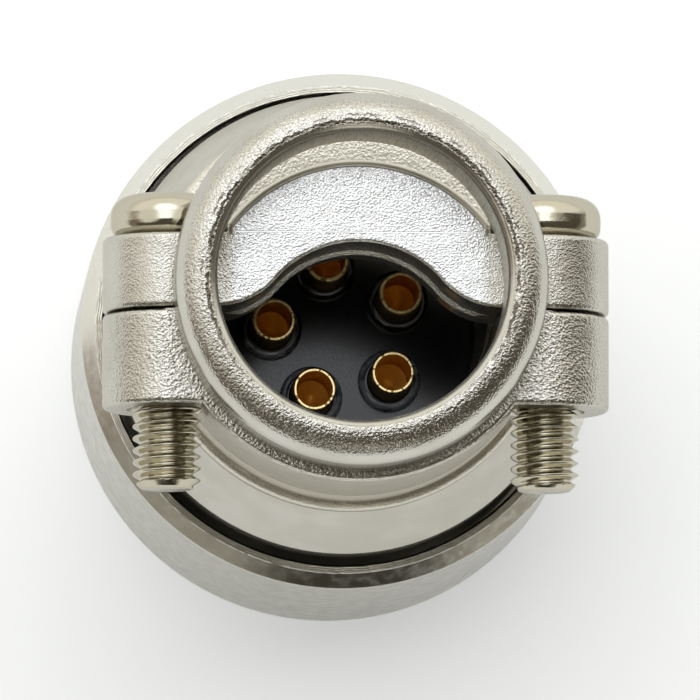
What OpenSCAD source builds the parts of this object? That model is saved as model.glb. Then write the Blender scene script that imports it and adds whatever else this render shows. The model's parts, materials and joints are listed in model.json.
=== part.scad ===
// Circular cable plug with five solder-cup contacts, a coupling nut and a two-screw cable clamp.
// It stands on its mating end: Z is the plug's axis, +Y is the side of the clamp's screw heads.

/* [Overall] */
// height from the nut's mating rim to the rim of the cable entry
total_h = 43.5; // [41:0.5:60]
// diameter of the cable entry bore
bore_d = 16.8; // [12:0.2:22]
// diameter of the moulded insert
insert_d = 19.9; // [17:0.1:26]

/* [Coupling nut] */
// height of the nut
nut_h = 19; // [16:0.5:26]
// wall outside the nut's widest inner space
nut_wall = 1.35; // [0.8:0.05:3]
// pitch of the coupling thread
thread_pitch = 1; // [0.75:0.25:2]
// height of the threaded mouth
thread_h = 7; // [5:0.5:12]
// thickness of the web that turns on the journal
web_t = 2; // [1.2:0.1:4]
// bevel round the nut's rear rim
nut_bevel = 0.85; // [0.3:0.05:1.1]

/* [Front shell] */
// wall of the barrel
barrel_wall = 1.7; // [1.2:0.1:3]
// setback of the barrel's end from the mating rim
barrel_setback = 1; // [0.2:0.1:3]
// thickness of the flange that holds the nut
flange_t = 2.1; // [1.2:0.1:4]
// wall under the rear thread
rear_thread_wall = 1; // [0.8:0.1:2]
// length of the rear thread
rear_thread_h = 5.3; // [4:0.1:9]
// width of the keyway
key_w = 2.4; // [1:0.1:4]
// depth of the keyway
key_depth = 0.8; // [0.4:0.1:1.2]

/* [Rear shell] */
// wall of the skirt outside the rear thread
skirt_wall = 2.65; // [1.5:0.05:4]
// height of the skirt above the nut's rear rim
skirt_rise = 2.2; // [0.5:0.1:6]
// wall of the entry hoop
hoop_wall = 2.4; // [1.6:0.1:4]
// height of the hoop over the clamp bay
hoop_h = 4.5; // [2.5:0.1:8]
// round on the hoop's outer rim
hoop_outer_round = 1.7; // [0.3:0.1:1.7]
// round on the hoop's inner rim
hoop_inner_round = 0.7; // [0.6:0.1:1.1]
// depth at which the machined bore breaks out of that round
mouth_depth = 0.4; // [0.2:0.1:0.6]
// diameter at the foot of the tapered core behind the entry bore
core_d = 16; // [11:0.2:20]
// wall of the clamp body outside the bore
clamp_wall = 3; // [2:0.1:4]
// height of the closed ring between the bay and the neck
land_h = 2.7; // [1.5:0.1:5]
// step from the clamp body out to the neck
neck_step = 0.5; // [0.2:0.1:1.5]
// depth of the joint plane below the axis
joint_drop = 1.4; // [0:0.1:4]

/* [Cable clamp] */
// nominal diameter of the clamp screws
screw_d = 4; // [3:0.5:5]
// length under the head
screw_l = 14.6; // [12:0.2:20]
// diameter of the screw head
head_d = 6.6; // [5.5:0.1:9]
// height of the screw head
head_h = 2.5; // [1.8:0.1:4]
// wall between the bore and the screw
screw_wall = 0.58; // [0.4:0.02:2]
// diameter of the ears round the screws
ear_d = 7.5; // [6:0.1:11]
// thickness of the saddle's ears along the screw
saddle_ear_t = 4.4; // [3:0.1:7]
// thickness of the lower ears along the screw
shell_ear_t = 5.5; // [4:0.1:9]
// round on the edges of the ears
ear_round = 0.3; // [0.1:0.05:0.8]
// radius of the saddle's dome
dome_r = 9.7; // [7:0.1:12]
// rise of the dome over the axis
dome_top = 7.4; // [5:0.1:8]
// half width of the dome
dome_half_w = 7.7; // [5:0.1:8]
// round on the edges of the dome
dome_round = 0.45; // [0.1:0.05:0.8]
// radius of the arch over the cable
arch_r = 6.3; // [4:0.1:8]
// radius of the lobes that press the cable
lobe_r = 4.8; // [3:0.1:7]
// height of the arch over the axis
arch_top = 2.5; // [1:0.1:5]
// height of the rib that grips the cable
rib_h = 0.26; // [0.1:0.02:0.6]
// width of the rib's crest
rib_w = 0.5; // [0.3:0.1:2]

/* [Contacts] */
// pitch circle of the contacts
contact_pcd = 8.1; // [7:0.1:12]
// turn of the first contact round the axis
contact_turn = 30.4; // [0:0.2:72]
// outside diameter of the solder cup
cup_d = 2.6; // [2:0.05:3.2]
// bore of the solder cup
cup_bore_d = 2.15; // [1.4:0.05:2.6]
// depth of the solder cup's bore
cup_depth = 4.6; // [3:0.1:7]
// height of the cups over the gasket
cup_rise = 2.4; // [0.5:0.1:6]
// outside diameter of the socket
socket_d = 2.3; // [1.8:0.1:3]
// bore of the socket
socket_bore_d = 1.5; // [1:0.1:2]
// wall of the sleeve over the socket
sleeve_wall = 0.2; // [0.15:0.05:0.4]
// diameter of the collar round each cup
collar_d = 3.7; // [3:0.1:4.4]

/* [Hidden] */
$fn = 96;
eps = 0.01;

// clearances
run_clear = 0.05;
axial_clear = 0.1;
joint_gap = 0.1;
bay_gap = 0.15;
nut_gap = 0.4;
washer_t = 0.4;
washer_clear = 0.1;
gasket_t = 0.6;

// radii, from the axis outwards
insert_r = insert_d / 2;
shell_bore_r = insert_r + run_clear;
rear_thread_r = shell_bore_r + rear_thread_wall;
barrel_r = shell_bore_r + barrel_wall;
journal_r = barrel_r + 0.1;
web_r = journal_r + run_clear;
// the socket's threaded tube fits between the barrel and the nut
mate_tube_wall = 1.6;
mate_clear = 0.2;
thread_major_r = barrel_r + mate_clear + mate_tube_wall;
thread_minor_r = thread_major_r - 0.5413 * thread_pitch;
flange_r = thread_minor_r - 0.25;
relief_r = thread_major_r + 0.15;
skirt_r = rear_thread_r + skirt_wall;
recess_r = skirt_r + nut_gap;
nut_r = max(recess_r, relief_r) + nut_wall;
lip_r = nut_r - nut_bevel;
bore_r = bore_d / 2;
hoop_r = bore_r + hoop_wall;
clamp_r = bore_r + clamp_wall;
neck_r = clamp_r + neck_step;
core_r = core_d / 2;

// heights, from the mating rim up
flange_top = thread_h + flange_t;
web_z = flange_top + washer_t + axial_clear;
web_top = web_z + web_t;
seat_z = web_top + axial_clear;
front_top = seat_z + rear_thread_h;
ledge_z = front_top + gasket_t;
skirt_top = nut_h + skirt_rise;
bay_top = total_h - hoop_h;
bay_h = ear_d + 2 * bay_gap;
bay_z = bay_top - bay_h;
neck_top = bay_z - land_h;
neck_h = 0.6;
body_top = bay_top - bay_gap;
clamp_round = 0.3;
screw_z = bay_top - bay_gap - ear_d / 2;
mouth_r = bore_r + sqrt(pow(hoop_inner_round, 2) - pow(hoop_inner_round - mouth_depth, 2));
// the crest between the hoop's two rounds keeps a narrow flat
hoop_round = min(hoop_outer_round, hoop_r - mouth_r - 0.05);

// clamp, across the axis
screw_x = bore_r + screw_wall + screw_d / 2;
shell_ear_top = -joint_drop;
saddle_ear_z0 = shell_ear_top + joint_gap;
saddle_ear_top = saddle_ear_z0 + saddle_ear_t;
arch_y = arch_top - arch_r;
lobe_y = saddle_ear_z0 + lobe_r;
screw_clear = 0.25;
screw_tip = 0.4;
head_round = 0.48 * head_h;
head_base_round = 0.32 * head_h;
countersink = 0.3;
recess_l = 3.8;
recess_w = 0.8;
recess_t = 1.4;
arch_bite = 0.02; // the arch and the lobes overlap by this, so that they meet at an edge
lobe_x = sqrt(pow(arch_r + lobe_r - arch_bite, 2) - pow(lobe_y - arch_y, 2));
arch_round = 0.25;

// inserts and contacts, from the mating rim up
insert_step_z = barrel_setback + 4;
insert_face_z = insert_step_z - 1;
nose_wall = 0.5;
insert_ring_t = 0.8;
ring_groove = 0.45;
ring_cover = 0.7;
ring_gap = 5;
insert_top = front_top - 1.4;
insert_split = insert_top - 3.6;
stop_d = socket_d + 0.9;
stop_t = 1.5;
cup_top = ledge_z + cup_rise;
sleeve_lip = 0.3;
sleeve_h = 5.3;
sleeve_r = socket_d / 2 + run_clear + sleeve_wall;
sleeve_z = insert_face_z + 0.3;
socket_z = sleeve_z + sleeve_lip;
socket_depth = 5;
slit_w = 0.25;
slit_h = 4;
collar_h = 0.8;
collar_round = 0.45;

// a disc of height h with its rims rounded, standing on z = 0
module rounded_disc(r, h, e) {
    rotate_extrude() {
        square([r - e, h]);
        translate([0, e]) square([r, h - 2 * e]);
        translate([r - e, e]) circle(e, $fn = 48);
        translate([r - e, h - e]) circle(e, $fn = 48);
    }
}

// a rectangle with four rounded corners, from the origin
module rounded_rect(w, h, e) {
    translate([e, 0]) square([w - 2 * e, h]);
    translate([0, e]) square([w, h - 2 * e]);
    for (x = [e, w - e]) for (y = [e, h - e]) translate([x, y]) circle(e, $fn = 48);
}

// turns a solid that stands on Z so that it stands on Y
module stand_on_y() {
    rotate([-90, 0, 0]) children();
}

// round-ended bar through both screws, from y0 to y0 + t
module ear_bar(y0, t, e) {
    translate([0, y0, screw_z]) {
        for (side = [-1, 1])
            translate([side * screw_x, 0, 0]) stand_on_y() rounded_disc(ear_d / 2, t, e);
        translate([-screw_x, 0, -ear_d / 2]) rotate([90, 0, 90])
            linear_extrude(2 * screw_x) rounded_rect(t, ear_d, e);
    }
}

// round holes for both screws
module screw_holes(r, y0, y1) {
    for (side = [-1, 1])
        translate([side * screw_x, y0, screw_z]) stand_on_y() cylinder(h = y1 - y0, r = r, $fn = 64);
}

module at_contacts() {
    for (i = [0:4]) rotate(contact_turn + 72 * i) translate([contact_pcd / 2, 0, 0]) children();
}

module at_contact(i) {
    rotate(contact_turn + 72 * (i - 1)) translate([contact_pcd / 2, 0, 0]) children();
}

module coupling_nut() {
    mouth = 0.6;
    color("silver") rotate_extrude() polygon([
        [thread_minor_r + mouth, 0],
        [nut_r - 0.5, 0],
        [nut_r, 0.5],
        [nut_r, nut_h - nut_bevel],
        [lip_r, nut_h],
        [recess_r + 0.15, nut_h],
        [recess_r, nut_h - 0.3],
        [recess_r, web_top],
        [web_r, web_top],
        [web_r, web_z],
        [relief_r, web_z],
        [relief_r, thread_h],
        [thread_minor_r, thread_h - 0.6],
        [thread_minor_r, mouth]
    ]);
}

module nut_washer() {
    color("lightgray") translate([0, 0, flange_top]) difference() {
        cylinder(h = washer_t, r = flange_r - 0.1);
        translate([0, 0, -1]) cylinder(h = washer_t + 2, r = journal_r + washer_clear);
    }
}

module front_shell() {
    color("gainsboro") difference() {
        rotate_extrude() polygon([
            [insert_r - nose_wall + run_clear, barrel_setback],
            [barrel_r - 0.4, barrel_setback],
            [barrel_r, barrel_setback + 0.4],
            [barrel_r, thread_h],
            [flange_r, thread_h],
            [flange_r, flange_top],
            [journal_r, flange_top],
            [journal_r, seat_z],
            [rear_thread_r, seat_z],
            [rear_thread_r, front_top - 0.4],
            [rear_thread_r - 0.4, front_top],
            [shell_bore_r, front_top],
            [shell_bore_r, insert_top + insert_ring_t],
            [shell_bore_r + 0.45, insert_top + insert_ring_t],
            [shell_bore_r + 0.45, insert_top],
            [shell_bore_r, insert_top],
            [shell_bore_r, insert_step_z],
            [insert_r - nose_wall + run_clear, insert_step_z]
        ]);
        translate([-key_w / 2, barrel_r - key_depth, -1])
            cube([key_w, key_depth + 1, thread_h + 1]);
    }
}

module shell_gasket() {
    color("dimgray") translate([0, 0, front_top]) difference() {
        cylinder(h = gasket_t, r = rear_thread_r);
        translate([0, 0, -1]) cylinder(h = gasket_t + 2, r = shell_bore_r);
    }
}

// quarter round that fills the corner under a rim at radius r and height z
module rim_round(r, z, e) {
    translate([r - e, z - e]) circle(e, $fn = 64);
}

// half section of the shell as turned, before the clamp bay is opened
module rear_shell_section() {
    difference() {
        union() {
            translate([0, seat_z]) square([skirt_r, skirt_top - seat_z]);
            polygon([
                [0, skirt_top],
                [skirt_r, skirt_top],
                [neck_r, neck_top - neck_step - neck_h],
                [neck_r, neck_top - neck_step],
                [0, neck_top - neck_step]
            ]);
            translate([0, neck_top - neck_step - eps]) square([clamp_r, neck_step + eps]);
            rim_round(neck_r, neck_top, neck_step);
            translate([0, neck_top - eps]) square([clamp_r, body_top - clamp_round - neck_top + eps]);
            translate([0, body_top - 2 * clamp_round])
                square([clamp_r - clamp_round, 2 * clamp_round]);
            rim_round(clamp_r, body_top, clamp_round);
            translate([0, bay_z]) square([hoop_r, total_h - hoop_round - bay_z]);
            translate([0, total_h - 2 * hoop_round]) square([hoop_r - hoop_round, 2 * hoop_round]);
            rim_round(hoop_r, total_h, hoop_round);
        }
        polygon([
            [-1, seat_z - 1],
            [rear_thread_r + run_clear, seat_z - 1],
            [rear_thread_r + run_clear, ledge_z],
            [core_r, ledge_z],
            [bore_r, bay_top],
            [bore_r, total_h + 1],
            [-1, total_h + 1]
        ]);
        difference() {
            translate([0, total_h - mouth_depth]) square([mouth_r, mouth_depth + 1]);
            translate([mouth_r, total_h - hoop_inner_round]) circle(hoop_inner_round, $fn = 64);
        }
    }
}

module rear_shell() {
    color("silver") difference() {
        union() {
            difference() {
                rotate_extrude() rear_shell_section();
                translate([-nut_r, shell_ear_top, bay_z]) cube([2 * nut_r, 2 * nut_r, bay_h]);
            }
            difference() {
                ear_bar(shell_ear_top - shell_ear_t, shell_ear_t, ear_round);
                translate([0, 0, bay_z]) cylinder(h = bay_h, r = bore_r + clamp_wall / 2);
            }
        }
        screw_holes(screw_d / 2 + run_clear, shell_ear_top - shell_ear_t - 1, shell_ear_top + 1);
        for (side = [-1, 1])
            translate([side * screw_x, shell_ear_top - shell_ear_t - eps, screw_z]) stand_on_y()
                cylinder(h = countersink, r1 = screw_d / 2 + run_clear + countersink,
                         r2 = screw_d / 2 + run_clear);
    }
}

// a disc of radius r and height h that flares by e at both faces, to cut a hole with rounded rims
module flared_disc(r, h, e) {
    rotate_extrude($fn = 128) difference() {
        translate([0, -1]) square([r + e, h + 2]);
        translate([r, e]) square([2 * e, h - 2 * e]);
        for (z = [e, h - e]) translate([r + e, z]) circle(e, $fn = 48);
    }
}

// ring of the grip rib, from its foot at radius r to its crest at radius r + rise
module rib_ring(r, rise) {
    slope = rib_h / abs(rise);
    foot = r - rise / 5;
    half = rib_w / 2;
    translate([0, 0, ear_d / 2]) rotate_extrude($fn = 128) polygon([
        [foot, -half - slope * abs(r + rise - foot)],
        [r + rise, -half],
        [r + rise, half],
        [foot, half + slope * abs(r + rise - foot)]
    ]);
}

// the space for the cable under the saddle, standing on z = 0: an arch that runs into two lobes
module cable_arch() {
    translate([0, arch_y, 0]) difference() {
        flared_disc(arch_r, ear_d, arch_round);
        rib_ring(arch_r, -rib_h);
    }
    difference() {
        translate([0, 0, -1]) linear_extrude(ear_d + 2) polygon([
            [0, arch_y],
            [lobe_x, lobe_y],
            [lobe_x, arch_y - 1],
            [-lobe_x, arch_y - 1],
            [-lobe_x, lobe_y]
        ]);
        for (side = [-1, 1]) translate([side * lobe_x, lobe_y, 0]) {
            rounded_disc(lobe_r, ear_d, arch_round);
            rib_ring(lobe_r, rib_h);
        }
    }
}

// the bridge over the cable
module saddle_dome() {
    intersection() {
        translate([0, dome_top - dome_r, screw_z - ear_d / 2])
            rounded_disc(dome_r, ear_d, dome_round);
        translate([-dome_half_w, dome_top + 1, screw_z - ear_d / 2]) rotate([90, 0, 0])
            linear_extrude(dome_top + 1 - saddle_ear_z0 - ear_round)
                rounded_rect(2 * dome_half_w, ear_d, dome_round);
    }
}

module clamp_saddle() {
    color("gainsboro") difference() {
        union() {
            ear_bar(saddle_ear_z0, saddle_ear_t, ear_round);
            saddle_dome();
        }
        translate([0, 0, screw_z - ear_d / 2]) cable_arch();
        screw_holes(screw_d / 2 + screw_clear, saddle_ear_z0 - 1, saddle_ear_top + 1);
    }
}

// half section of the pan head, standing on z = 0
module head_section() {
    square([head_d / 2 - head_round, head_h]);
    square([head_d / 2 - head_base_round, head_h - head_round]);
    translate([0, head_base_round]) square([head_d / 2, head_h - head_round - head_base_round]);
    rim_round(head_d / 2, head_h, head_round);
    rim_round(head_d / 2, 2 * head_base_round, head_base_round);
}

// cross recess, cut down from the top of the head
module cross_recess() {
    for (turn = [0, 90]) rotate(turn) translate([-recess_l / 2, -recess_w / 2, head_h - recess_t])
        cube([recess_l, recess_w, recess_t + 1]);
}

module clamp_screw(side) {
    color("lightgray") translate([side * screw_x, saddle_ear_top, screw_z]) stand_on_y() {
        difference() {
            rotate_extrude() head_section();
            cross_recess();
        }
        translate([0, 0, screw_tip - screw_l]) cylinder(h = screw_l - screw_tip + eps, r = screw_d / 2);
        translate([0, 0, -screw_l]) cylinder(h = screw_tip, r1 = screw_d / 2 - screw_tip, r2 = screw_d / 2);
    }
}

module clamp_screw_left() {
    clamp_screw(-1);
}

module clamp_screw_right() {
    clamp_screw(1);
}

module insert_front() {
    color("dimgray") difference() {
        union() {
            translate([0, 0, insert_step_z]) cylinder(h = insert_split - insert_step_z, r = insert_r);
            translate([0, 0, insert_face_z]) cylinder(h = 2, r = insert_r - nose_wall);
        }
        at_contacts() {
            translate([0, 0, insert_face_z - 1]) cylinder(h = 30, r = socket_d / 2 + run_clear);
            translate([0, 0, insert_face_z - 1])
                cylinder(h = sleeve_z - insert_face_z + sleeve_h + 1, r = sleeve_r + run_clear);
            translate([0, 0, insert_split - stop_t]) cylinder(h = stop_t + 1, r = stop_d / 2 + run_clear);
        }
    }
}

// half section of the rounded collar round each cup, from just inside the insert's face
module collar_section() {
    h = collar_h + eps;
    square([collar_d / 2 - collar_round, h]);
    square([collar_d / 2, h - collar_round]);
    rim_round(collar_d / 2, h, collar_round);
}

module insert_rear() {
    color("darkslategray") difference() {
        union() {
            translate([0, 0, insert_split]) cylinder(h = insert_top - insert_split, r = insert_r);
            at_contacts() translate([0, 0, insert_top - eps]) rotate_extrude() collar_section();
        }
        at_contacts() translate([0, 0, insert_split - 1])
            cylinder(h = insert_top + collar_h, r = cup_d / 2 + run_clear);
    }
}

module insert_ring() {
    color("lightgray") translate([0, 0, insert_top]) difference() {
        cylinder(h = insert_ring_t, r = shell_bore_r + ring_groove - run_clear);
        translate([0, 0, -1]) cylinder(h = insert_ring_t + 2, r = insert_r - ring_cover);
        translate([-ring_gap / 2, 0, -1]) cube([ring_gap, nut_r, insert_ring_t + 2]);
    }
}

// turned contact: socket at the bottom, stop collar, solder cup at the top
module contact(i) {
    color("gold") at_contact(i) difference() {
        rotate_extrude($fn = 64) polygon([
            [socket_bore_d / 2 + 0.15, socket_z],
            [socket_d / 2 - 0.1, socket_z],
            [socket_d / 2, socket_z + 0.1],
            [socket_d / 2, insert_split - stop_t],
            [stop_d / 2, insert_split - stop_t],
            [stop_d / 2, insert_split],
            [cup_d / 2, insert_split],
            [cup_d / 2, cup_top - 0.1],
            [cup_d / 2 - 0.1, cup_top],
            [cup_bore_d / 2, cup_top],
            [cup_bore_d / 2, cup_top - cup_depth],
            [0, cup_top - cup_depth - 0.5],
            [0, socket_z + socket_depth + 0.4],
            [socket_bore_d / 2, socket_z + socket_depth],
            [socket_bore_d / 2, socket_z + 0.15]
        ]);
        for (turn = [0, 90]) rotate(turn) translate([-slit_w / 2, -socket_d, socket_z - 1])
            cube([slit_w, 2 * socket_d, slit_h + 1]);
    }
}

module contact_sleeve(i) {
    color("lightgray") at_contact(i) translate([0, 0, sleeve_z]) difference() {
        cylinder(h = sleeve_h, r = sleeve_r, $fn = 64);
        translate([0, 0, -1]) cylinder(h = sleeve_h + 2, r = socket_bore_d / 2 + 0.05, $fn = 64);
        translate([0, 0, sleeve_lip]) cylinder(h = sleeve_h, r = socket_d / 2 + run_clear, $fn = 64);
    }
}

coupling_nut();
nut_washer();
front_shell();
shell_gasket();
rear_shell();
clamp_saddle();
clamp_screw_left();
clamp_screw_right();
insert_front();
insert_rear();
insert_ring();
contact(1);  // contact_1
contact(2);  // contact_2
contact(3);  // contact_3
contact(4);  // contact_4
contact(5);  // contact_5
contact_sleeve(1);  // contact_sleeve_1
contact_sleeve(2);  // contact_sleeve_2
contact_sleeve(3);  // contact_sleeve_3
contact_sleeve(4);  // contact_sleeve_4
contact_sleeve(5);  // contact_sleeve_5
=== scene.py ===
"""Aviation plug connector, stood on its mating end and seen from the cable end.

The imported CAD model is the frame. This script gives each node its finish, replaces the two clamp
screws with threaded ones, and sets the floor, the light and the camera.
"""

import json
import math

import bmesh
import bpy
from mathutils import Matrix, Vector


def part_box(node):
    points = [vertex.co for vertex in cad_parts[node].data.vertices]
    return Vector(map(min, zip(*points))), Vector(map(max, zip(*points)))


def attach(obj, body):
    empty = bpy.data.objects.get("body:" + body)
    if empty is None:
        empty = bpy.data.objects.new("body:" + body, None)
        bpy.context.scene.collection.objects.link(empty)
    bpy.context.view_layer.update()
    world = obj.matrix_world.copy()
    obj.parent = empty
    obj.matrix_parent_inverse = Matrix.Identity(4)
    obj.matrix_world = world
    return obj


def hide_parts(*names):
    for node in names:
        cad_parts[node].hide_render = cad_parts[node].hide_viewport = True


MM = 0.001

CONTACTS = 5
NOISE_LOW = 0.3  # fractal noise hardly goes under this
NOISE_HIGH = 0.7  # or over this
THREAD_DEPTH = 0.6134  # of a metric external thread, as a share of its pitch
SHARP_FROM = math.radians(38)  # edges of the screws' meshes stay sharp from this angle on

# ---------------------------------------------------------------- colours, linear

CAST_SHADE = (0.545, 0.525, 0.465)
CAST_PALE = (0.60, 0.585, 0.53)
# painted highlight: a paler nickel for the saddle's face
CAST_PAINTED_HIGHLIGHT = (0.77, 0.77, 0.755)
# painted light: pale cream for the bay floor, the core's wall and the saddle's rolled rim
LEDGE_PAINTED_CREAM = (0.72, 0.69, 0.60)
CUT_METAL = (0.70, 0.69, 0.65)
# painted shade in the grain's pits, and the tool lines' own brown
PIT_SHADE_AND_LINE_BROWN = (0.27, 0.25, 0.21)
# painted shade for creases and the hoop's seam
CREASE_PAINTED_SHADE = (0.08, 0.062, 0.042)
METAL_EDGE_TINT = (0.78, 0.77, 0.74)

TURNED_SIDE = (0.55, 0.535, 0.485)
# painted highlight: a paler nickel for the nut's bevel
BEVEL_PAINTED_HIGHLIGHT = (0.74, 0.73, 0.67)
SCREW_PLATE = (0.555, 0.52, 0.42)
SPRING_PLATE = (0.52, 0.51, 0.49)

GOLD_RIM = (0.86, 0.68, 0.34)
# painted shade: a deeper amber for the gold inside the cups
GOLD_INSIDE_SHADE = (0.93, 0.555, 0.13)
# painted shade: dark gold for the cups' outer walls
GOLD_OUTSIDE_SHADE = (0.26, 0.17, 0.07)
GOLD_NICK = (0.20, 0.12, 0.04)

INSERT_BLACK = (0.007, 0.007, 0.009)
# painted reflection: pale blue for the collars' shoulders
COLLAR_PAINTED_REFLECTION = (0.60, 0.67, 0.80)
GASKET_BLACK = (0.03, 0.03, 0.03)

FLOOR_PAINT = (0.82, 0.82, 0.81)
FLOOR_GLOW = (0.96, 1.0, 1.03)

WINDOW = (1.25, 1.23, 1.14)
WINDOW_FOOT = (0.95, 0.94, 0.87)
LAMP = (2.25, 2.32, 2.48)
ROOM = (0.11, 0.097, 0.075)
ROOM_FOOT = (0.34, 0.32, 0.27)

# what else the sky shows: towards, full within and gone beyond (degrees), colour
SKY_CARDS = [
    ((0.10, -0.99, 0.12), 8, 34, (0.045, 0.04, 0.03)),  # dark foot of the room
    ((0.06, -0.87, 0.50), 6, 18, (1.05, 1.02, 0.90)),  # pale band above it
    ((-0.66, -0.05, 0.75), 8, 26, (1.05, 1.03, 0.95)),  # pale wall at the left
    ((-0.95, -0.12, 0.30), 8, 22, (0.27, 0.21, 0.165)),  # dark shape under it
]


def rgba(color):
    return (*color, 1.0)


def shaded(color, share):
    return tuple(share * c for c in color)


# ---------------------------------------------------------------- node trees


class Graph:
    """Builds a node tree: add() makes a node, and wire() joins sockets or sets their values."""

    def __init__(self, tree):
        self.tree = tree

    def add(self, kind, inputs=None, **settings):
        node = self.tree.nodes.new(kind)
        for name, value in settings.items():
            setattr(node, name, value)
        for key, value in (inputs or {}).items():
            self.wire(value, node.inputs[key])
        return node

    def wire(self, value, socket):
        if isinstance(value, bpy.types.NodeSocket):
            self.tree.links.new(value, socket)
        else:
            socket.default_value = value

    def math(self, operation, *values):
        node = self.add("ShaderNodeMath", operation=operation)
        for socket, value in zip(node.inputs, values):
            self.wire(value, socket)
        return node.outputs[0]

    def times(self, product, *others):
        for other in others:
            product = self.math("MULTIPLY", product, other)
        return product

    def plus(self, a, b):
        return self.math("ADD", a, b)

    def minus(self, a, b):
        return self.math("SUBTRACT", a, b)

    def larger(self, a, b):
        return self.math("MAXIMUM", a, b)

    def length(self, a, b):
        """length of the vector a, b"""
        return self.math("SQRT", self.plus(self.times(a, a), self.times(b, b)))

    def vector(self, operation, *values):
        node = self.add("ShaderNodeVectorMath", operation=operation)
        for socket, value in zip(node.inputs, values):
            self.wire(value, socket)
        return node.outputs["Value" if operation == "DOT_PRODUCT" else "Vector"]

    def split(self, vector):
        """x, y and z of a vector"""
        return self.add("ShaderNodeSeparateXYZ", {"Vector": vector}).outputs

    def join(self, x, y, z=0.0):
        return self.add("ShaderNodeCombineXYZ", {0: x, 1: y, 2: z}).outputs[0]

    def remap(self, value, low, high, out_low=0.0, out_high=1.0):
        """value from low..high to out_low..out_high, clamped, with soft ends"""
        node = self.add("ShaderNodeMapRange", interpolation_type="SMOOTHSTEP")
        for socket, given in zip(node.inputs, (value, low, high, out_low, out_high)):
            self.wire(given, socket)
        return node.outputs[0]

    def past(self, value, edge, soft):
        """0 up to edge, and 1 from edge + soft on"""
        return self.remap(value, edge, edge + soft)

    def short_of(self, value, edge, soft):
        """1 up to edge, and 0 from edge + soft on"""
        return self.remap(value, edge + soft, edge)

    def band(self, value, middle, width):
        """1 within a narrow band round middle, fading to 0 at its edges"""
        off = self.math("ABSOLUTE", self.minus(value, middle))
        return self.remap(off, width / 2, width / 4)

    def swing(self, noise, middle, reach):
        """a noise spread over middle - reach to middle + reach"""
        return self.remap(noise, NOISE_LOW, NOISE_HIGH, middle - reach, middle + reach)

    def noise(self, coords, size, detail=2.0, roughness=0.5):
        """fractal noise whose features are about size metres across"""
        node = self.add(
            "ShaderNodeTexNoise",
            {"Vector": coords, "Scale": 1 / size, "Detail": detail, "Roughness": roughness},
        )
        return node.outputs["Fac"]

    def cells(self, coords, size):
        """rounded cells about size metres across"""
        node = self.add(
            "ShaderNodeTexVoronoi",
            {"Vector": coords, "Scale": 1 / size, "Smoothness": 0.6},
            feature="SMOOTH_F1",
        )
        return node.outputs["Distance"]

    def blend(self, share, a, b):
        """colour a, turning to b with share; each colour is a socket or three numbers"""
        node = self.add("ShaderNodeMix", {0: share}, data_type="RGBA")
        for index, color in ((6, a), (7, b)):
            self.wire(rgba(color) if isinstance(color, tuple) else color, node.inputs[index])
        return node.outputs[2]

    def blend_numbers(self, share, a, b):
        return self.add("ShaderNodeMix", {0: share, 2: a, 3: b}, data_type="FLOAT").outputs[0]

    def bump(self, height, distance, normal):
        """bumps on top of normal, distance metres high where height is 1"""
        node = self.add(
            "ShaderNodeBump", {"Height": height, "Distance": distance, "Normal": normal}
        )
        return node.outputs["Normal"]

    def soft_edge(self, radius):
        return self.add("ShaderNodeBevel", {"Radius": radius}, samples=6).outputs["Normal"]

    def round_axis(self, coords):
        """distance from the plug's axis, angle round it, and height"""
        x, y, z = self.split(coords)
        return self.length(x, y), self.math("ARCTAN2", y, x), z

    def facing_up(self, none, full):
        """how far a surface faces the cable end: 0 up to none of its normal's z, 1 from full on"""
        normal = self.add("ShaderNodeTexCoord").outputs["Normal"]
        return self.remap(self.split(normal)[2], none, full)


def new_material(name, metallic=1.0):
    """an empty principled material: (material, graph, shader, object coordinates)"""
    mat = bpy.data.materials.new(name)
    mat.use_nodes = True
    graph = Graph(mat.node_tree)
    shader = mat.node_tree.nodes["Principled BSDF"]
    shader.inputs["Metallic"].default_value = metallic
    if metallic:
        shader.inputs["Specular Tint"].default_value = rgba(METAL_EDGE_TINT)
    coords = graph.add("ShaderNodeTexCoord").outputs["Object"]
    return mat, graph, shader, coords


def finish_surface(g, shader, color, roughness, normal):
    g.wire(color, shader.inputs["Base Color"])
    g.wire(roughness, shader.inputs["Roughness"])
    g.wire(normal, shader.inputs["Normal"])


# ---------------------------------------------------------------- the castings


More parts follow.
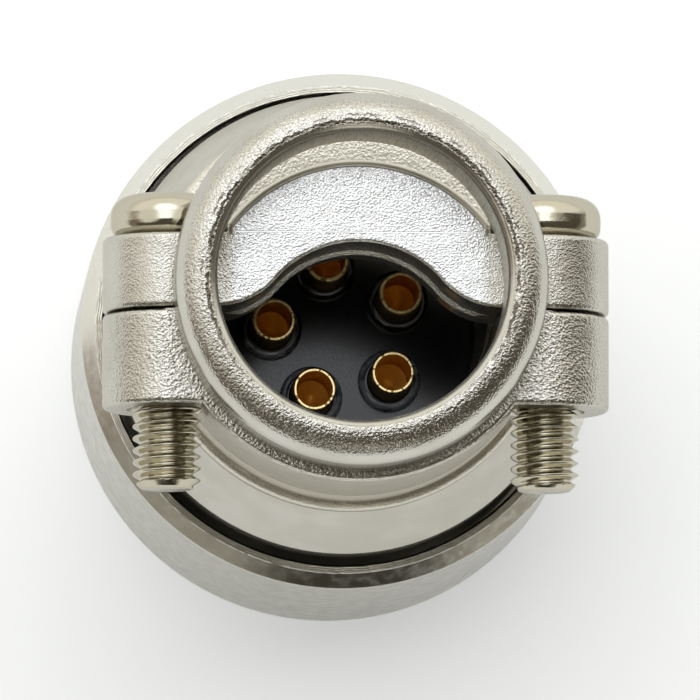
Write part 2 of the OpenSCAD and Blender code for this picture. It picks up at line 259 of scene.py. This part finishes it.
def cast_surface(
    g, shader, coords, *, grain_size, grain_depth, pit_shade_share, blasted, cut, ledge, painted_highlight, crease_shade
):
    """satin nickel over a zinc casting

    The last five say how far each point is blasted to a grain, cut by a tool, a dull ledge painted
    pale cream as light, painted paler as a highlight, and painted dark as shade in a crease.
    """
    fine = g.noise(coords, grain_size, detail=1.5, roughness=0.6)
    craters = g.cells(coords, 1.7 * grain_size)
    grain = g.plus(g.times(fine, 0.9), g.times(craters, 0.8))
    along_bore = g.vector("MULTIPLY", coords, (1.0, 1.0, 0.04))
    streaks = g.noise(along_bore, 0.09 * MM, detail=1.5)
    height = g.plus(g.times(grain, blasted), g.times(streaks, 0.25, cut))
    height = g.minus(height, g.times(crease_shade, 0.8))
    waves = g.bump(g.noise(coords, 2.2 * MM), 0.05 * MM, g.soft_edge(0.08 * MM))
    normal = g.bump(height, grain_depth, waves)

    clouds = g.remap(g.noise(coords, 3.0 * MM), 0.35, 0.7)
    color = g.blend(clouds, CAST_SHADE, CAST_PALE)
    # painted highlight: where it is given, the colour turns paler
    color = g.blend(painted_highlight, color, CAST_PAINTED_HIGHLIGHT)
    # painted light: ledges turn pale cream; cut metal turns its own paler colour
    color = g.blend(g.larger(ledge, cut), color, g.blend(cut, LEDGE_PAINTED_CREAM, CUT_METAL))
    # painted shade in the grain's pits, and darker tool lines on the cut metal
    pit_shade = g.times(g.remap(fine, 0.52, 0.36), g.times(blasted, pit_shade_share))
    lines = g.times(g.remap(streaks, 0.55, 0.35), g.times(cut, 0.45))
    color = g.blend(g.plus(pit_shade, lines), color, PIT_SHADE_AND_LINE_BROWN)
    # painted shade: darker in creases and along the hoop's seam
    color = g.blend(g.times(crease_shade, 0.9), color, CREASE_PAINTED_SHADE)

    roughness = g.remap(blasted, 0.0, 1.0, 0.26, 0.14)
    roughness = g.larger(roughness, g.times(cut, 0.42))
    roughness = g.larger(roughness, g.times(ledge, 0.36))
    finish_surface(g, shader, color, roughness, normal)


def hoop_seam(g, coords, crest_r, foot_z):
    """painted shade in wrinkled plating on the hoop's crest above foot_z: one dark line and a
    broken one outside it, both fainter towards -Y"""
    x, y, z = g.split(coords)
    wavy = g.plus(g.length(x, y), g.swing(g.noise(coords, 0.35 * MM), 0.0, 0.07 * MM))
    gaps = g.remap(g.noise(coords, 1.2 * MM), 0.45, 0.60)
    outer = g.times(g.band(wavy, crest_r + 0.30 * MM, 0.12 * MM), 0.8, gaps)
    inner = g.band(wavy, crest_r - 0.03 * MM, 0.24 * MM)
    crest = g.past(z, foot_z, 0.4 * MM)
    patchy = g.remap(g.noise(coords, 0.8 * MM), 0.30, 0.55)
    fainter = g.remap(y, -8 * MM, -2 * MM, 0.25, 1.0)
    return g.times(g.larger(inner, outer), crest, patchy, fainter)


def shell_nickel(bore_r, bore_z, crest_r, wall_r, ridge_z, bay_z):
    """the rear shell: blasted down to its neck ridge, with a bore machined down to bore_z"""
    mat, g, shader, coords = new_material("cast_nickel")
    x, y, z = g.split(coords)
    radius = g.length(x, y)
    hoop = g.past(z, bore_z - 0.1 * MM, 0.1 * MM)
    bore = g.short_of(radius, bore_r + 0.02 * MM, 0.04 * MM)
    mouth = g.times(g.short_of(radius, bore_r + 0.30 * MM, 0.16 * MM), hoop)
    above_ridge = g.past(z, ridge_z - 0.8 * MM, 0.3 * MM)
    under_hoop = g.short_of(z, bore_z - 0.4 * MM, 0.2 * MM)
    facing = g.larger(g.facing_up(0.50, 0.85), g.times(g.facing_up(0.10, 0.60), under_hoop))
    bay_floor = g.short_of(z, bay_z + 0.1 * MM, 0.1 * MM)
    core_wall = g.times(g.band(radius, wall_r, 0.3 * MM), 0.5)
    duller = g.remap(bay_floor, 0.0, 1.0, 1.0, 0.65)
    blasted = g.times(g.minus(1.0, mouth), above_ridge, facing, duller)
    cast_surface(
        g,
        shader,
        coords,
        grain_size=0.098 * MM,
        grain_depth=0.038 * MM,
        pit_shade_share=0.5,
        blasted=g.larger(blasted, 0.08),
        cut=g.times(bore, hoop),
        # painted light: the bay floor and the core's wall turn pale cream
        ledge=g.times(g.larger(bay_floor, core_wall), above_ridge),
        painted_highlight=0.0,
        # painted shade along the hoop's seam
        crease_shade=hoop_seam(g, coords, crest_r, bore_z + 3.0 * MM),
    )
    return mat


def saddle_nickel(dome_y, dome_r, dome_half, rim, ear_top):
    """the saddle: its face blasted and painted paler as a highlight, its dome's rolled rim smooth
    and painted pale cream as light, with painted shade in a crease inside it
    """
    mat, g, shader, coords = new_material("saddle_nickel")
    x, y, _ = g.split(coords)
    away = g.length(x, g.minus(y, dome_y))
    dome = g.past(y, ear_top + 0.2 * MM, 0.2 * MM)
    rolled = g.times(g.past(away, dome_r - rim - 0.05 * MM, 0.1 * MM), dome)
    # painted shade: the crease inside the rolled rim
    crease = g.times(g.band(away, dome_r - rim, 0.08 * MM), g.times(dome, 0.6))
    face = g.short_of(g.math("ABSOLUTE", x), dome_half - 0.8 * MM, 0.8 * MM)
    step = g.times(g.band(y, ear_top, 0.11 * MM), face)
    plain = g.minus(1.0, g.larger(rolled, step))
    cast_surface(
        g,
        shader,
        coords,
        grain_size=0.075 * MM,
        grain_depth=0.026 * MM,
        pit_shade_share=0.34,
        blasted=g.larger(g.times(plain, g.facing_up(0.10, 0.60)), 0.08),
        cut=0.0,
        # painted light: the rolled rim turns pale cream
        ledge=rolled,
        # painted highlight: the saddle's face turns paler
        painted_highlight=face,
        crease_shade=crease,
    )
    return mat


# ---------------------------------------------------------------- turned and plated metal


def turned_nickel(bevel_z, lip_z):
    """satin nickel over turned brass: fine rings from the tool, a smoother finish and a painted
    highlight in a paler colour on the nut's bevel from bevel_z up, and grooved on its lip at lip_z"""
    mat, g, shader, coords = new_material("turned_nickel")
    radius, angle, z = g.round_axis(coords)
    rings = g.noise(g.join(radius, z, g.times(angle, 0.15 * MM)), 0.05 * MM)
    wander = g.swing(g.noise(coords, 0.9 * MM), 0.0, 0.03 * MM)
    groove = g.math("SINE", g.times(g.plus(radius, wander), math.tau / (0.13 * MM)))
    lip = g.past(z, lip_z - 0.04 * MM, 0.03 * MM)
    clouds = g.noise(coords, 2.5 * MM, detail=3.0)
    waves = g.bump(clouds, 0.03 * MM, g.soft_edge(0.1 * MM))
    grooved = g.bump(g.times(groove, lip), 0.02 * MM, waves)
    normal = g.bump(rings, 0.0002 * MM, grooved)

    bevel = g.past(z, bevel_z - 0.05 * MM, 0.07 * MM)
    side = g.blend(g.remap(clouds, 0.35, 0.7), shaded(TURNED_SIDE, 0.93), TURNED_SIDE)
    # painted highlight: the bevel turns paler
    color = g.blend(bevel, side, BEVEL_PAINTED_HIGHLIGHT)
    blotches = g.noise(coords, 0.7 * MM)
    satin = g.swing(blotches, 0.20, 0.05)
    smooth = g.swing(blotches, 0.13, 0.05)
    finish_surface(g, shader, color, g.blend_numbers(bevel, satin, smooth), normal)
    return mat


def plated_metal(name, color, roughness, speck):
    """a plated small part with slight specks and softened edges"""
    mat, g, shader, coords = new_material(name)
    specks = g.noise(coords, speck, detail=3.0, roughness=0.6)
    tone = g.blend(specks, shaded(color, 0.9), color)
    normal = g.bump(specks, 0.006 * MM, g.soft_edge(0.05 * MM))
    finish_surface(g, shader, tone, g.swing(specks, roughness, 0.05), normal)
    return mat


# ---------------------------------------------------------------- contacts and mouldings


def from_contact(g, coords, pitch_r, first_turn):
    """place as seen from the nearest contact: which one, outward, sideways, off its axis, height"""
    radius, angle, z = g.round_axis(coords)
    step = math.tau / CONTACTS
    place = g.math("DIVIDE", g.minus(angle, first_turn), step)
    number = g.math("ROUND", place)
    own = g.times(g.minus(place, number), step)
    side = g.times(radius, g.math("SINE", own))
    out = g.minus(g.times(radius, g.math("COSINE", own)), pitch_r)
    return number, out, side, g.length(out, side), z


def gold_cup(rim_z, wall_r, pitch_r, first_turn):
    """gold flash: pale rims with small file marks, painted shade in a deep amber inside the cups,
    and painted shade on their outer walls
    """
    mat, g, shader, coords = new_material("contact_gold")
    number, out, side, away, z = from_contact(g, coords, pitch_r, first_turn)
    around = g.join(g.math("ARCTAN2", side, out), number)
    marks = g.noise(around, 0.16, detail=1.0)
    rim = g.past(z, rim_z - 0.14 * MM, 0.08 * MM)
    nicked = g.times(g.remap(marks, 0.59, 0.63), rim)
    # painted shade: the cups' outer walls turn dark
    outside = g.past(away, wall_r - 0.03 * MM, 0.06 * MM)
    # painted shade: the gold inside the cups is a deeper amber
    gold = g.blend(outside, GOLD_INSIDE_SHADE, GOLD_OUTSIDE_SHADE)
    gold = g.blend(rim, gold, GOLD_RIM)
    color = g.blend(nicked, gold, GOLD_NICK)
    roughness = g.remap(rim, 0.0, 1.0, 0.48, 0.25)
    finish_surface(g, shader, color, roughness, g.soft_edge(0.05 * MM))
    return mat


def collar_reflection(g, coords, pitch_r, first_turn, foot_z, collar_r):
    """painted reflection, pale, on the outer shoulder of a collar: in patches, and only on the
    plug's -Y side
    """
    *_, away, z = from_contact(g, coords, pitch_r, first_turn)
    shoulder = g.times(g.band(away, collar_r - 0.12 * MM, 0.50 * MM), 0.95)
    raised = g.past(z, foot_z, 0.3 * MM)
    lower = g.short_of(g.split(coords)[1], -MM, MM)
    patches = g.remap(g.noise(coords, 1.3 * MM), 0.38, 0.60, 0.15, 1.0)
    return g.times(shoulder, raised, lower, patches)


def moulded_surface(g, shader, coords, color, roughness, texture, depth, painted_reflection=None):
    """moulded plastic or rubber with a fine texture, and pale and partly metallic where a
    reflection is painted on
    """
    fine = g.noise(coords, texture, detail=3.0, roughness=0.6)
    tone = g.blend(fine, color, shaded(color, 1.6))
    if painted_reflection is not None:
        # painted reflection: pale and partly metallic on the collars' shoulders
        tone = g.blend(painted_reflection, tone, COLLAR_PAINTED_REFLECTION)
        g.wire(g.times(painted_reflection, 0.6), shader.inputs["Metallic"])
    normal = g.bump(fine, depth, g.soft_edge(0.06 * MM))
    finish_surface(g, shader, tone, g.swing(fine, roughness, 0.04), normal)


def insert_black(pitch_r, first_turn, foot_z, collar_r):
    """black thermoset, with a reflection painted on its collars"""
    mat, g, shader, coords = new_material("insert_black", metallic=0.0)
    painted_reflection = collar_reflection(g, coords, pitch_r, first_turn, foot_z, collar_r)
    moulded_surface(g, shader, coords, INSERT_BLACK, 0.15, 0.12 * MM, 0.0006 * MM, painted_reflection)
    return mat


def gasket_rubber():
    mat, g, shader, coords = new_material("gasket_rubber", metallic=0.0)
    moulded_surface(g, shader, coords, GASKET_BLACK, 0.6, 0.15 * MM, 0.01 * MM)
    return mat


# ---------------------------------------------------------------- meshes


def mesh_object(name, mesh):
    obj = bpy.data.objects.new(name, mesh)
    bpy.context.scene.collection.objects.link(obj)
    return obj


def thread_radius(phase, major, root, pitch):
    """radius of a 60 degree external thread, phase 0 on the crest"""
    off_crest = min(phase % 1.0, 1.0 - phase % 1.0) * pitch
    half_flat = pitch / 16
    return max(major - max((off_crest - half_flat) * math.sqrt(3), 0.0), root)


def thread_mesh(bm, axis_x, axis_z, tip_y, top_y, major, pitch, turn):
    """adds the threaded shank to bm: a chamfered tip at tip_y, and a run-out that ends at top_y"""
    around = 72
    rings_per_turn = 14
    root = major - THREAD_DEPTH * pitch
    run_out = 0.8 * pitch
    rows = int((top_y - tip_y) / pitch * rings_per_turn)
    rings = []
    for j in range(rows + 1):
        y = tip_y + (top_y - tip_y) * j / rows
        chamfer_r = root - 0.05 * MM + (y - tip_y)
        run_out_r = root + (y - top_y + run_out) * 0.9 if y > top_y - run_out else 0.0
        ring = []
        for i in range(around):
            r = thread_radius(y / pitch - i / around + turn, major, root, pitch)
            r = min(max(min(r, chamfer_r), run_out_r), major)
            t = math.tau * i / around
            ring.append(bm.verts.new((axis_x + r * math.sin(t), y, axis_z + r * math.cos(t))))
        rings.append(ring)
    for a, b in zip(rings, rings[1:]):
        for i in range(around):
            k = (i + 1) % around
            bm.faces.new((a[i], a[k], b[k], b[i]))
    bm.faces.new(list(reversed(rings[0])))
    bm.faces.new(rings[-1])


def threaded_screw(name, node, body, major, pitch, head_h, turn):
    """stands for a CAD screw: its own head, with a real thread under it"""
    low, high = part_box(node)
    axis_x = (low.x + high.x) / 2
    axis_z = (low.z + high.z) / 2
    seat_y = high.y - head_h
    bm = bmesh.new()
    bm.from_mesh(frame["nodes"][node].data)
    bmesh.ops.bisect_plane(
        bm,
        geom=bm.verts[:] + bm.edges[:] + bm.faces[:],
        plane_co=(0, seat_y + 0.002 * MM, 0),
        plane_no=(0, -1, 0),
        clear_outer=True,
    )
    thread_mesh(bm, axis_x, axis_z, low.y, seat_y + 0.01 * MM, major, pitch, turn)
    bmesh.ops.recalc_face_normals(bm, faces=bm.faces)
    mesh = bpy.data.meshes.new(name)
    bm.to_mesh(mesh)
    bm.free()
    for polygon in mesh.polygons:
        polygon.use_smooth = True
    mesh.set_sharp_from_angle(angle=SHARP_FROM)
    obj = mesh_object(name, mesh)
    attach(obj, body)
    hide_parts(node)
    return obj


# ---------------------------------------------------------------- studio


def floor_material():
    """pale paint that also glows to the camera and in mirror images, but lights nothing"""
    mat = bpy.data.materials.new("floor")
    mat.use_nodes = True
    g = Graph(mat.node_tree)
    mat.node_tree.nodes.remove(mat.node_tree.nodes["Principled BSDF"])
    rays = g.add("ShaderNodeLightPath").outputs
    mirrored = g.larger(rays["Is Glossy Ray"], rays["Is Transmission Ray"])
    strength = g.times(g.larger(rays["Is Camera Ray"], mirrored), 0.40)
    glow = g.add("ShaderNodeEmission", {"Color": rgba(FLOOR_GLOW), "Strength": strength})
    paint = g.add("ShaderNodeBsdfDiffuse", {"Color": rgba(FLOOR_PAINT)})
    both = g.add("ShaderNodeAddShader", {0: glow.outputs[0], 1: paint.outputs[0]})
    g.wire(both.outputs[0], mat.node_tree.nodes["Material Output"].inputs["Surface"])
    return mat


def plain_floor(size):
    """a pale floor that reads white and keeps the object's shadow"""
    half = size / 2
    corners = [(-half, -half, 0), (half, -half, 0), (half, half, 0), (-half, half, 0)]
    mesh = bpy.data.meshes.new("floor")
    mesh.from_pydata(corners, [], [(0, 1, 2, 3)])
    mesh.update()
    mesh.materials.append(floor_material())
    floor = mesh_object("floor", mesh)


def card(g, way, towards, full, gone):
    """share of a soft-edged round card in the sky, its angles in degrees from its middle"""
    near = g.vector("DOT_PRODUCT", way, Vector(towards).normalized())
    return g.remap(near, math.cos(math.radians(gone)), math.cos(math.radians(full)))


def studio_sky():
    """a tall soft window towards +Y that starts near the zenith, and a dim room opposite"""
    world = bpy.data.worlds.new("studio")
    bpy.context.scene.world = world
    world.use_nodes = True
    g = Graph(world.node_tree)
    way = g.add("ShaderNodeTexCoord").outputs["Generated"]
    low = g.remap(g.split(way)[2], 0.35, 0.05)
    window = g.blend(low, WINDOW, WINDOW_FOOT)
    window = g.blend(card(g, way, (-0.09, 0.40, 0.92), 14, 26), window, LAMP)
    room = g.blend(low, ROOM, ROOM_FOOT)
    across = g.vector("DOT_PRODUCT", way, Vector((-0.26, 0.966, 0.0)))
    total = g.blend(g.remap(across, -0.05, 0.10), room, window)
    for towards, full, gone, color in SKY_CARDS:
        total = g.blend(card(g, way, towards, full, gone), total, color)
    g.wire(total, world.node_tree.nodes["Background"].inputs["Color"])


def photo_camera(target, distance, tilt_x, tilt_y, aim_x, aim_y, lens):
    """camera over the plug: tilted from its axis towards -X and -Y, and aimed aside of target"""
    back = Vector((-math.tan(tilt_x), -math.tan(tilt_y), 1.0)).normalized()
    right = Vector((0, 1, 0)).cross(back).normalized()
    up = back.cross(right)
    place = target + back * distance
    aim = target + right * aim_x + up * aim_y
    data = bpy.data.cameras.new("camera")
    data.sensor_width = 36.0
    data.lens = lens
    data.clip_start = 0.05
    data.clip_end = 10.0
    camera = bpy.data.objects.new("camera", data)
    camera.location = place
    to_camera = (place - aim).normalized()
    side = Vector((0, 1, 0)).cross(to_camera).normalized()
    turn = [side, to_camera.cross(side), to_camera]
    camera.rotation_euler = Matrix(turn).transposed().to_euler()
    bpy.context.scene.collection.objects.link(camera)
    bpy.context.scene.camera = camera


# ---------------------------------------------------------------- scene

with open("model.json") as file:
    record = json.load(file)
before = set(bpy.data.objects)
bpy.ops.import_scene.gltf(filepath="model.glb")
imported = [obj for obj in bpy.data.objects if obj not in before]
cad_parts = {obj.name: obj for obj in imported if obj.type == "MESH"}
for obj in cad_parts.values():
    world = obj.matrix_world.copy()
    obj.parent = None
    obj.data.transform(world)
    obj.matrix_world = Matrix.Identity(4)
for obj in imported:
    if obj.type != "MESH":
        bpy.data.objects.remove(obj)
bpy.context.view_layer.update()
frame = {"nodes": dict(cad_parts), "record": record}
record = frame["record"]
nodes = frame["nodes"]

# the rear shell: its bore, the crest of its hoop and the wall of its core
entry = next(m for m in record["mounts"] if m["name"] == "cable_entry")
entry_r = entry["dims"]["r_mm"] * MM
entry_foot = entry["pos_m"][2] - entry["dims"]["length_mm"] * MM / 2
entry_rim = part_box("rear_shell")[1].z
crest_r = entry_r + 0.62 * MM
wall_r = entry_r + 3.0 * MM

# the saddle, and the bay it stands in
saddle_low, saddle_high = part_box("clamp_saddle")
dome_r = 9.7 * MM
dome_half = 7.7 * MM
dome_rim = 0.45 * MM
bay_z = saddle_low.z - 0.15 * MM
ridge_z = bay_z - 2.7 * MM

# the clamp screws, M4 x 0.7 with the crests 0.02 mm inside the CAD model's cylinder
screw_pitch = 0.7 * MM
screw_major = 1.98 * MM
head_height = 2.5 * MM
ear_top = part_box("clamp_screw_left")[1].y - head_height

# the coupling nut
nut_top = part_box("coupling_nut")[1].z
nut_bevel = 0.85 * MM

# the contacts, and the collars round them
cup_low, cup_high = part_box("contact_1")
cup_middle = (cup_low + cup_high) / 2
pitch_r = math.hypot(cup_middle.x, cup_middle.y)
first_turn = math.atan2(cup_middle.y, cup_middle.x)
cup_wall_r = 1.19 * MM
collar_r = 1.85 * MM
collar_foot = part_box("insert_rear")[1].z - 0.8 * MM

finishes = {
    "cast_nickel": shell_nickel(entry_r, entry_foot, crest_r, wall_r, ridge_z, bay_z),
    "turned_nickel": turned_nickel(nut_top - nut_bevel, nut_top),
    "screw_nickel": plated_metal("screw_nickel", SCREW_PLATE, 0.14, 0.3 * MM),
    "spring_steel": plated_metal("spring_steel", SPRING_PLATE, 0.30, 0.4 * MM),
    "insert_black": insert_black(pitch_r, first_turn, collar_foot, collar_r),
    "contact_gold": gold_cup(cup_high.z, cup_wall_r, pitch_r, first_turn),
    "gasket_rubber": gasket_rubber(),
}
for part in record["subparts"]:
    slots = nodes[part["node"]].data.materials
    slots.clear()
    slots.append(finishes[part["material_slot"]])

saddle_slots = nodes["clamp_saddle"].data.materials
saddle_slots[0] = saddle_nickel(saddle_high.y - dome_r, dome_r, dome_half, dome_rim, ear_top)

for side, turn in (("left", 0.0), ("right", 0.35)):
    screw = threaded_screw(
        f"threaded_screw_{side}",
        f"clamp_screw_{side}",
        f"screw_{side}",
        screw_major,
        screw_pitch,
        head_height,
        turn,
    )
    screw.data.materials.append(finishes["screw_nickel"])

plain_floor(3.0)
studio_sky()
photo_camera(
    target=Vector((0, 0, entry_rim)),
    distance=0.8,
    tilt_x=math.radians(3.1),
    tilt_y=math.radians(7.6),
    aim_x=-0.777 * MM,
    aim_y=-4.34 * MM,
    lens=715.063,
)
bpy.context.scene.view_settings.view_transform = "Standard"
